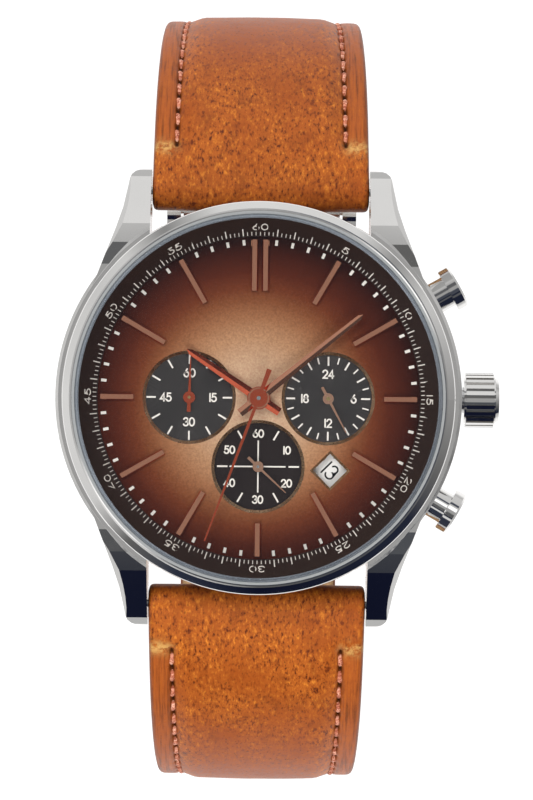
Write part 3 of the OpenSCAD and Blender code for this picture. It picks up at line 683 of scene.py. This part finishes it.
class Half:
    """One half of the strap: where its outer surface runs, from the lug bar to the free end."""

    def __init__(self, side, total, run, flat):
        self.side, self.total, self.run, self.flat = side, total, run, flat
        self.body = "strap_12" if side > 0 else "strap_6"
        self.step = 0.1
        y, z = BAR_Y + ROLL_R * math.sin(math.radians(LEAD)), BAR_Z + ROLL_R * math.cos(math.radians(LEAD))
        self.table = [(y, z)]
        for i in range(int(total / self.step) + 2):
            a = math.radians(self.dip((i + 0.5) * self.step))
            y, z = y + self.step * math.cos(a), z - self.step * math.sin(a)
            self.table.append((y, z))

    def dip(self, s):
        """Degrees by which the strap slopes down, s along; negative s is on the roll round the bar."""
        if s < 0:
            return LEAD + math.degrees(s / ROLL_R)
        if s < ARC_1:
            return LEAD + math.degrees(s / WRIST_R)
        if s < ARC_1 + self.run:
            return MID_TURN
        if s < ARC_1 + self.run + ARC_2:
            return MID_TURN + math.degrees((s - ARC_1 - self.run) / BEND_R)
        if s < ARC_1 + self.run + ARC_2 + self.flat:
            return 180
        return 180 + math.degrees((s - ARC_1 - self.run - ARC_2 - self.flat) / CURL_R)

    def at(self, x, s, depth):
        """The point x across, s along and depth under the outer surface."""
        a = math.radians(self.dip(s))
        if s < 0:
            y, z = BAR_Y + ROLL_R * math.sin(a), BAR_Z + ROLL_R * math.cos(a)
        else:
            i = min(int(s / self.step), len(self.table) - 2)
            f = s / self.step - i
            (y0, z0), (y1, z1) = self.table[i], self.table[i + 1]
            y, z = y0 + (y1 - y0) * f, z0 + (z1 - z0) * f
        return (x, self.side * (y - depth * math.sin(a)), z - depth * math.cos(a))

    def width(self, s):
        return STRAP_W + (END_W - STRAP_W) * min(1.0, max(0.0, s) / TAPER) ** 1.8

    def thickness(self, s):
        if s < LUG_PAD:
            return THICK_LUG - (THICK_LUG - THICK_MID) * s / LUG_PAD
        return THICK_MID - (THICK_MID - THICK_END) * (s - LUG_PAD) / (self.total - LUG_PAD)

    def stitched(self):
        """Where the seam's stitches start, and how many there are."""
        last = self.total - (BUCKLE_PLAIN if self.side > 0 else TIP_PLAIN)
        return FIRST_STITCH, int((last - FIRST_STITCH) / PITCH)


twelve = Half(1, 75, 14, 60)
six = Half(-1, 115, 15.3, 14.4)


def drop(half, edge, s):
    """How far the leather's top lies under the crown, at a distance from its edge."""
    seamed = smoothstep(3.0, 6.0, s) * smoothstep(1.5, 5.0, half.total - s)
    band = BAND_DROP * seamed * (1 - smoothstep(SEAM + 0.05, SEAM + 1.9, edge))
    groove = 0.20 * seamed * math.exp(-((edge - SEAM) / 0.24) ** 2)
    crown = 0.14 * (1 - smoothstep(SEAM, 9.0, edge)) + 0.02
    lip = 0.05 * math.exp(-((edge - 1.2) / 0.8) ** 2) * seamed
    return band + groove + crown * 0.8 - lip


def round_edge(edge, radius=0.5):
    return 0.0 if edge >= radius else radius - math.sqrt(max(0.0, radius ** 2 - (radius - edge) ** 2))


def hole_depth(half, edge, s):
    """Dents that the stitches dive into, one between each pair of stitches."""
    first, count = half.stitched()
    k = (s - first) / PITCH
    near = round(k)
    if near < 0 or near > count:
        return 0.0
    gap = (k - near) * PITCH
    return math.exp(-(gap / 0.42) ** 2 - ((edge - SEAM) / 0.24) ** 2)


# columns of the leather's mesh: close together at the edge and at the seam, then even over the middle
EDGES = [0, 0.06, 0.16, 0.32, 0.55, 0.9, 1.3, 1.65, 1.9, 2.05, 2.17, 2.3, 2.43, 2.57, 2.75, 3.0, 3.3, 3.7,
         4.2, 4.8]
MIDDLE = 26


def leather_half(half, name):
    """The outer leather: padded between two stitched bands, wrapped round the lug bar at its start."""
    free_roll = 18
    stations = [(-math.radians(180) * ROLL_R * (1 - i / free_roll), ROLL_R - BAR_R) for i in range(free_roll)]
    stations += [(0.0, ROLL_R - BAR_R), (0.5, ROLL_R - BAR_R), (1.0, ROLL_R - BAR_R)]
    count = int((half.total - 1.0) / ROW)
    stations += [(1.0 + 0.001 + (half.total - 1.001) * i / count, None) for i in range(count + 1)]
    points, along, tone = [], [], []
    for s, shell in stations:
        w = half.width(s)
        under = shell if shell else half.thickness(s) - LINING_T
        end = smoothstep(0, 0.6, half.total - s)
        inset = 0.35 * (1 - end)
        columns = [-w / 2 + e for e in EDGES]
        between = w - 2 * EDGES[-1]
        columns += [(-w / 2 + EDGES[-1]) + between * (i + 1) / (MIDDLE + 1) for i in range(MIDDLE)]
        columns += [w / 2 - e for e in reversed(EDGES)]
        row = []
        for x in columns:
            edge = w / 2 - abs(x)
            dent = hole_depth(half, edge, s)
            deep = drop(half, edge, s) + round_edge(edge) + 0.5 * dent + inset
            wander = noise.noise(Vector((x * 0.22, s * 0.16, 3.1 * half.side)))
            pebble = noise.noise(Vector((x * 2.1, s * 1.5, 7.7 + half.side)))
            deep -= (0.05 * wander + 0.014 * pebble) * (1 if s > 0 else 0.5)
            row.append((x, min(deep, under - 0.05), edge, dent))
        side_rows = [0.3, 0.6, 0.85]
        right = [(w / 2 + 0.04, row[-1][1] + (under - row[-1][1]) * f, 0, 0) for f in side_rows]
        floor = [(x, under, w / 2 - abs(x), 0) for x in (w / 2 - 0.1, w / 4, 0, -w / 4, -w / 2 + 0.1)]
        left = [(-w / 2 - 0.04, row[0][1] + (under - row[0][1]) * f, 0, 0) for f in reversed(side_rows)]
        for x, deep, edge, dent in row + right + floor + left:
            points.append(half.at(x, s, deep))
            along.append((x * MM, (s * half.side + 300) * MM, deep * MM))
            seamed = smoothstep(3.4, 5.4, s)
            # the first part of tone: painted shade in the seam's groove and in the dents between stitches,
            # and a darker edge
            groove = 0.45 * math.exp(-((edge - SEAM) / 0.30) ** 2) * seamed
            rim = 0.75 * (1 - smoothstep(0.0, 0.45, edge))
            fold = math.exp(-((s - 4.3) / 0.8) ** 2) * (1 - smoothstep(1.4, 3.2, edge)) * 1.1
            band = seamed * (1 - smoothstep(SEAM - 0.1, SEAM + 0.5, edge))
            # painted shade: a patch over the middle of the strap where it curves down
            shade = smoothstep(9, 22, s) * (1 - smoothstep(30, 42, s)) * smoothstep(2.5, 6, edge)
            tone.append((min(1, max(groove, rim * 0.6, 1.25 * dent)), min(1, fold), band, shade))
    rings = len(stations)
    faces = tube(0, rings, len(points) // rings, half.side > 0)
    piece = mesh_piece(name, points, faces, cognac, half.body)
    paint(piece, "along", "FLOAT_VECTOR", along)
    paint(piece, "tone", "FLOAT_COLOR", tone)
    return piece


def lining_half(half, name, start):
    """The inner leather, soft and pale, with rounded edges and its own seam line."""
    count = int((half.total - start) / 0.8)
    points, along, tone = [], [], []
    xs = 30
    for j in range(count + 1):
        s = start + (half.total - 0.2 - start) * j / count
        w = half.width(s) - 0.35
        top, low = half.thickness(s) - LINING_T, half.thickness(s)
        ring = [(-w / 2 + w * i / xs, low) for i in range(xs + 1)]
        ring = [(x, low - round_edge(w / 2 - abs(x), 0.4)
                 - 0.12 * math.exp(-((w / 2 - abs(x) - SEAM) / 0.4) ** 2)
                 + 0.03 * noise.noise(Vector((x * 0.4, s * 0.3, 5)))) for x, _ in ring]
        ring += [(w / 2, top + 0.01), (0, top + 0.01), (-w / 2, top + 0.01)]
        for x, deep in ring:
            edge = w / 2 - abs(x)
            points.append(half.at(x, s, deep))
            along.append((x * MM, (s * half.side + 700) * MM, deep * MM))
            # tone: painted shade in the seam line and a darker edge, and painted shade further along from 40
            # mm on
            tone.append((0.3 * math.exp(-((edge - SEAM) / 0.3) ** 2) + 0.5 * (1 - smoothstep(0, 0.4, edge)),
                         0, 0, 0.5 * smoothstep(40, 60, s)))
    faces = tube(0, count + 1, xs + 4, half.side < 0)
    piece = mesh_piece(name, points, faces, lining, half.body)
    paint(piece, "along", "FLOAT_VECTOR", along)
    paint(piece, "tone", "FLOAT_COLOR", tone)
    return piece


def stitches(half, name):
    """Both seams, on the outside and on the lining: a twisted thread that dives into each hole."""
    points, faces, along = [], [], []
    first, count = half.stitched()
    rings, round_steps = 13, 10
    for across in (-1, 1):
        for inside in (False, True):
            for k in range(count):
                wobble = noise.noise(Vector((k * 1.7, across * 3.3, half.side * 5.1)))
                base = len(points)
                for j in range(rings):
                    t = j / (rings - 1)
                    s = first + (k + 0.16 + 0.68 * t) * PITCH
                    arch = math.sin(math.pi * min(1, max(0, t))) ** 0.55
                    w = half.width(s)
                    lean = 0.10 * (0.5 - t) * across * (1 if inside else -1) + 0.03 * wobble
                    x0 = across * (w / 2 - SEAM) + lean
                    thick = 0.235 + 0.02 * wobble
                    surface = drop(half, SEAM, s) if not inside else half.thickness(s) - 0.12
                    rise = (-0.30 + 0.38 * arch) if not inside else (0.30 - 0.38 * arch)
                    centre = surface - rise
                    for i in range(round_steps):
                        a = 2 * math.pi * i / round_steps
                        ply = 1 + 0.16 * math.cos(2 * a - 9.5 * t)
                        r = thick * ply * (0.72 + 0.28 * arch)
                        points.append(half.at(x0 + r * math.cos(a), s, centre + r * 0.85 * math.sin(a)))
                        along.append((x0 * MM + r * a * MM, (s * half.side + 40) * MM, t * MM))
                faces += tube(base, rings, round_steps, half.side < 0)
    piece = mesh_piece(name, points, faces, thread, half.body)
    paint(piece, "along", "FLOAT_VECTOR", along)
    return piece


top_leather = leather_half(twelve, "strap_12_outer")
low_leather = leather_half(six, "strap_6_outer")
top_lining = lining_half(twelve, "strap_12_inner", 5.0)
low_lining = lining_half(six, "strap_6_inner", 5.0)
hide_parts("strap_12_leather")
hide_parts("strap_6_leather")
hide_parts("strap_12_lining")
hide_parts("strap_6_lining")
stitches(twelve, "strap_12_stitches")
stitches(six, "strap_6_stitches")


def keeper(name, s0, slot_w, low, high, length, body, node):
    """A leather loop round the strap: a soft-edged band along a rounded rectangle."""
    wall, corner, soft, grow, row = 1.0, 1.5, 0.34, 0.55, 0.8
    half_w = slot_w / 2 + grow
    bottom, top = low - grow, high + grow
    route = []
    for cx, cz, start in ((half_w - corner, top - corner, 0), (-half_w + corner, top - corner, 90),
                          (-half_w + corner, bottom + corner, 180), (half_w - corner, bottom + corner, 270)):
        for k in range(9):
            a = math.radians(start + 90 * k / 8)
            route.append((cx + corner * math.cos(a), cz + corner * math.sin(a), a))
    smooth_route = []
    for i, (x, z, a) in enumerate(route):
        smooth_route.append((x, z, a))
        nx, nz, na = route[(i + 1) % len(route)]
        gap = math.hypot(nx - x, nz - z)
        parts = max(1, int(gap / row))
        for k in range(1, parts):
            f = k / parts
            smooth_route.append((x + (nx - x) * f, z + (nz - z) * f, a))
    section = []
    for v, h, start in ((1, 1, 0), (-1, 1, 90), (-1, -1, 180), (1, -1, 270)):
        for k in range(4):
            a = math.radians(start + 30 * k)
            section.append((v * (length / 2 - soft) + soft * math.cos(a),
                            h * (wall / 2 - soft) + soft * math.sin(a)))
    a = math.radians(twelve.dip(s0))
    _, y0, z0 = twelve.at(0, s0, 0)
    points, along, tone = [], [], []
    run = 0.0
    for i, (x, z, turn) in enumerate(smooth_route):
        px, pz, _ = smooth_route[i - 1]
        run += math.hypot(x - px, z - pz) if i else 0.0
        swell = 0.04 * noise.noise(Vector((run * 0.5, length, 2)))
        for v, h in section:
            out_x, out_z = x + (h + swell) * math.cos(turn), z + (h + swell) * math.sin(turn)
            y = y0 + v * math.cos(a) + out_z * math.sin(a)
            points.append((out_x, y, z0 - v * math.sin(a) + out_z * math.cos(a)))
            along.append((v * MM, (run + 500) * MM, h * MM))
            tone.append((0.5 * smoothstep(length / 2 - 0.5, length / 2, abs(v)), 0, 0.3, 0))
    faces = hoop(len(smooth_route), len(section))
    piece = mesh_piece(name, points, faces, loop_leather, body)
    paint(piece, "along", "FLOAT_VECTOR", along)
    paint(piece, "tone", "FLOAT_COLOR", tone)
    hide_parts(node)
    return piece


keeper("keeper_loop_fixed", 67.5, 19.0, -3.6, 0.4, 3.2, "strap_12", "fixed_keeper")
keeper("keeper_loop_free", 52.5, 20.2, -4.0, 0.4, 4.0, "keeper", "free_keeper")


# ---------------------------------------------------------------- light and floor

# the studio round the watch, as brightness by compass direction: what its low and middle parts show, and
# the narrow part above them that the sub-dials' rings reflect
LOW_ROOM = [(0, 0.88), (30, 0.85), (44, 0.36), (60, 0.72), (90, 0.36), (112, 0.16), (128, 0.02), (180, 0.006),
            (205, 0.03), (222, 0.15), (238, 0.78), (270, 0.88), (300, 0.74), (316, 0.78), (330, 0.30),
            (348, 0.85)]
MID_ROOM = [(0, 0.42), (20, 0.06), (52, 0.05), (80, 0.35), (110, 0.20), (150, 0.10), (180, 0.16), (196, 0.85),
            (232, 0.95), (262, 0.40), (290, 0.50), (335, 0.62)]
SHEEN_ROOM = [(0, 0.16), (26, 0.12), (42, 1.7), (58, 1.7), (76, 0.10), (120, 0.06), (180, 0.10), (206, 0.12),
              (222, 1.7), (238, 1.7), (256, 0.10), (300, 0.08)]
ROOM_STRENGTH = 1.0


def card(level):
    """The colour of a card in the studio: grey, and bluer the darker it is."""
    blue = 1.0 + 0.9 * max(0.0, 0.12 - level) / 0.12
    return (level, level * (1 + (blue - 1) * 0.35), level * blue + (0.012 if level < 0.1 else 0), 1)


def world_light():
    """A soft room, bright to the north and west, with dark cards to the south-east, all by direction."""
    world = bpy.data.worlds.new("studio")
    world.use_nodes = True
    tree = world.node_tree

    def add(kind, inputs, **properties):
        return add_node(tree, kind, inputs, **properties)

    way = add("SeparateXYZ", {0: add("TexCoord", {}).outputs["Generated"]}).outputs
    turn = add("Math", {0: way[0], 1: way[1]}, operation="ARCTAN2").outputs[0]
    share = add("MapRange", {"Value": turn, "From Min": -math.pi, "From Max": math.pi}).outputs[0]

    def room(table):
        made = add("ValToRGB", {"Fac": share})
        stops = sorted(((((angle + 180) % 360) / 360), level) for angle, level in table)
        stops = [(0.0, stops[0][1])] + [s for s in stops if s[0] > 0] + [(1.0, stops[0][1])]
        set_stops(made, [(position, card(level)) for position, level in stops])
        return made.outputs[0]

    height = way[2]
    colour = room(LOW_ROOM)
    for edge, width, above in ((0.68, 0.02, room(MID_ROOM)), (0.81, 0.02, room(LOW_ROOM)),
                               (0.885, 0.01, room(SHEEN_ROOM)), (0.986, 0.006, (0.42, 0.42, 0.42, 1))):
        limits = {"Value": height, "From Min": edge - width, "From Max": edge + width}
        rise = add("MapRange", limits).outputs[0]
        colour = add("Mix", {0: rise, 6: colour, 7: above}, data_type="RGBA").outputs[2]
    tree.links.new(colour, tree.nodes["Background"].inputs["Color"])
    tree.nodes["Background"].inputs["Strength"].default_value = ROOM_STRENGTH
    scene.world = world


def soft_light(name, place, size, power):
    """A square lamp that points at the watch and has no reflection in the metal; place is in metres."""
    data = bpy.data.lights.new(name, "AREA")
    data.shape = "SQUARE"
    data.size = size
    data.energy = power
    lamp = bpy.data.objects.new(name, data)
    lamp.location = place
    lamp.visible_glossy = False
    lamp.rotation_euler = (-Vector(place)).to_track_quat("-Z", "Y").to_euler()
    scene.collection.objects.link(lamp)


def floor():
    """White paper under the watch that glows near it and fades outwards."""
    reach = 900
    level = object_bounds()[0].z / MM - 0.05
    points = [(-reach, -reach, level), (reach, -reach, level), (reach, reach, level), (-reach, reach, level)]
    look = Look("floor_paper", (0.2, 0.2, 0.2, 1), 0.0, 0.9)
    away = radius_from(look)
    paper = look.mix(look.noise(look.place(), 300, 2), (0.19, 0.19, 0.19, 1), (0.21, 0.21, 0.21, 1))
    look.put("Base Color", paper)
    near = look.fit(away, 0.09, 0.19, 0.93, 0.42)
    look.put("Emission Color", look.node("CombineXYZ", {0: near, 1: near, 2: near}).outputs[0])
    look.shader.inputs["Emission Strength"].default_value = 1.0
    mesh = bpy.data.meshes.new("floor")
    mesh.from_pydata([tuple(c * MM for c in p) for p in points], [], [(0, 1, 2, 3)])
    mesh.materials.append(look.material)
    piece = bpy.data.objects.new("floor", mesh)
    scene.collection.objects.link(piece)
    piece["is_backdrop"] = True


world_light()
soft_light("key", (-0.14, 0.20, 0.36), 0.22, 1.2)
soft_light("fill", (0.08, -0.30, 0.30), 0.25, 1.5)
floor()
